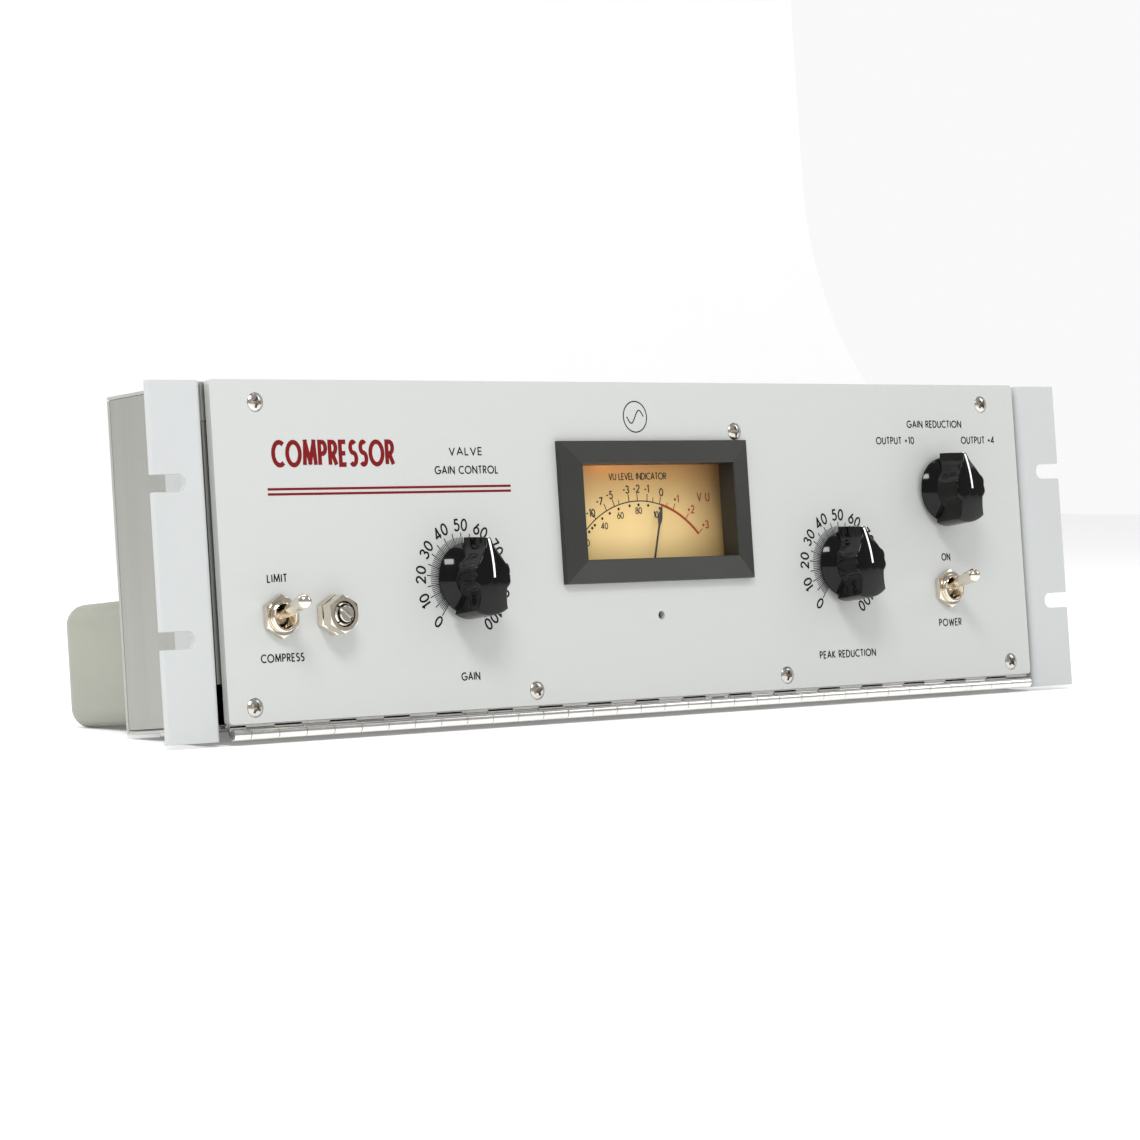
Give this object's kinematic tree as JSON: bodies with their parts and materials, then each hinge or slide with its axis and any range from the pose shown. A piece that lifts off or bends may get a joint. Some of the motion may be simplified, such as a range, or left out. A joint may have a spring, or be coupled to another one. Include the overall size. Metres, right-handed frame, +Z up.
{
  "type": "rack compressor",
  "caption": "Rack-mount valve compressor with a drop-down control door on a continuous hinge, a level meter, pointer knobs, toggle switches, and valves and transformers at the rear.",
  "frame": {"origin": "under the middle of the bounding box, level with the bottom edges of the rack ears", "axes": "+X to the right as seen from the front, +Y to the rear, +Z up; the controls face -Y"},
  "size_m": [0.4826, 0.1592, 0.1329],
  "materials": {
    "panel_paint": "pale grey satin paint",
    "brushed_metal": "bare brushed sheet",
    "nickel": "bright nickel plate",
    "zinc": "zinc or nickel plate",
    "black_bakelite": "polished black moulding",
    "dark_plastic": "dark grey matt moulding",
    "dial_card": "printed card, lit amber from above",
    "clear_glass": "clear glass",
    "can_paint": "grey-green paint",
    "aluminium": "drawn aluminium can",
    "board": "brown laminate"
  },
  "bodies": {
    "case": {"rack_ear_left": "panel_paint", "rack_ear_right": "panel_paint", "side_panel_left": "brushed_metal", "side_panel_right": "brushed_metal", "rear_panel": "brushed_metal", "top_cover": "brushed_metal", "bottom_cover": "brushed_metal", "component_board": "board", "hinge_fixed_leaf": "nickel", "hinge_pin": "zinc", "power_transformer": "can_paint", "output_transformer": "can_paint", "input_transformer": "can_paint", "filter_capacitor": "aluminium", "tube_1": "clear_glass", "tube_2": "clear_glass", "tube_3": "clear_glass", "tube_4": "clear_glass", "optical_cell_socket": "black_bakelite", "optical_cell": "aluminium", "input_connector": "zinc", "output_connector": "zinc", "mains_inlet": "black_bakelite", "fuse_holder": "black_bakelite"},
    "door": {"door_panel": "panel_paint", "hinge_door_leaf": "nickel", "closing_screw_left": "zinc", "closing_screw_right": "zinc", "lamp_screw": "zinc", "hinge_screw_1": "zinc", "hinge_screw_2": "zinc", "hinge_screw_3": "zinc", "hinge_screw_4": "zinc", "gain_pot": "zinc", "peak_pot": "zinc", "meter_switch": "zinc", "limit_switch": "nickel", "limit_switch_nut": "nickel", "power_switch": "nickel", "power_switch_nut": "nickel", "emphasis_pot": "nickel", "emphasis_lock_base": "nickel", "meter_bezel": "dark_plastic", "meter_housing": "dark_plastic", "meter_glass": "clear_glass", "meter_dial": "dial_card"},
    "gain_control": {"gain_knob": "black_bakelite", "gain_shaft": "zinc"},
    "peak_control": {"peak_knob": "black_bakelite", "peak_shaft": "zinc"},
    "meter_selector": {"meter_knob": "black_bakelite", "meter_shaft": "zinc"},
    "limit_toggle": {"limit_lever": "nickel"},
    "power_toggle": {"power_lever": "nickel"},
    "emphasis_adjuster": {"emphasis_shaft": "zinc"},
    "lock_nut": {"emphasis_lock_nut": "nickel"},
    "needle": {"meter_needle": "dark_plastic"},
    "zero_adjuster": {"meter_zero_screw": "dark_plastic"},
    "latch": {"input_latch": "zinc"},
    "fuse_carrier": {"fuse_cap": "black_bakelite"}
  },
  "joints": [
    {"name": "door_hinge", "type": "hinge", "parent": "case", "child": "door", "pos_m": [0, -0.05935, 0.0021], "axis": [1, 0, 0], "range_deg": [0, 90]},
    {"name": "gain_turn", "type": "hinge", "parent": "door", "child": "gain_control", "pos_m": [-0.1009, -0.0596, 0.0563], "axis": [0, 1, 0], "range_deg": [-140, 140]},
    {"name": "peak_turn", "type": "hinge", "parent": "door", "child": "peak_control", "pos_m": [0.1024, -0.0596, 0.0568], "axis": [0, 1, 0], "range_deg": [-140, 140]},
    {"name": "meter_select_turn", "type": "hinge", "parent": "door", "child": "meter_selector", "pos_m": [0.1654, -0.0596, 0.0872], "axis": [0, 1, 0], "range_deg": [-30, 30]},
    {"name": "limit_toggle_tip", "type": "hinge", "parent": "door", "child": "limit_toggle", "pos_m": [-0.1892, -0.0591, 0.0448], "axis": [1, 0, 0], "range_deg": [0, 32]},
    {"name": "power_toggle_tip", "type": "hinge", "parent": "door", "child": "power_toggle", "pos_m": [0.1658, -0.0591, 0.0448], "axis": [1, 0, 0], "range_deg": [0, 32]},
    {"name": "emphasis_turn", "type": "hinge", "parent": "door", "child": "emphasis_adjuster", "pos_m": [-0.1651, -0.0596, 0.0445], "axis": [0, 1, 0], "range_deg": [-140, 140]},
    {"name": "lock_nut_turn", "type": "hinge", "parent": "door", "child": "lock_nut", "pos_m": [-0.1651, -0.0596, 0.0445], "axis": [0, 1, 0], "range_deg": [-90, 0]},
    {"name": "needle_swing", "type": "hinge", "parent": "door", "child": "needle", "pos_m": [0, -0.0596, 0.0411], "axis": [0, 1, 0], "range_deg": [-61, 33], "stiffness_Nm_per_rad": 0.002},
    {"name": "zero_turn", "type": "hinge", "parent": "door", "child": "zero_adjuster", "pos_m": [0, -0.0596, 0.0389], "axis": [0, 1, 0], "range_deg": [-30, 30]},
    {"name": "latch_press", "type": "slide", "parent": "case", "child": "latch", "axis": [0, -1, 0], "range_m": [0, 0.0012], "stiffness_N_per_m": 400},
    {"name": "fuse_cap_turn", "type": "hinge", "parent": "case", "child": "fuse_carrier", "pos_m": [-0.128, 0.0037, 0.096], "axis": [0, 1, 0], "range_deg": [-90, 0]}
  ]
}
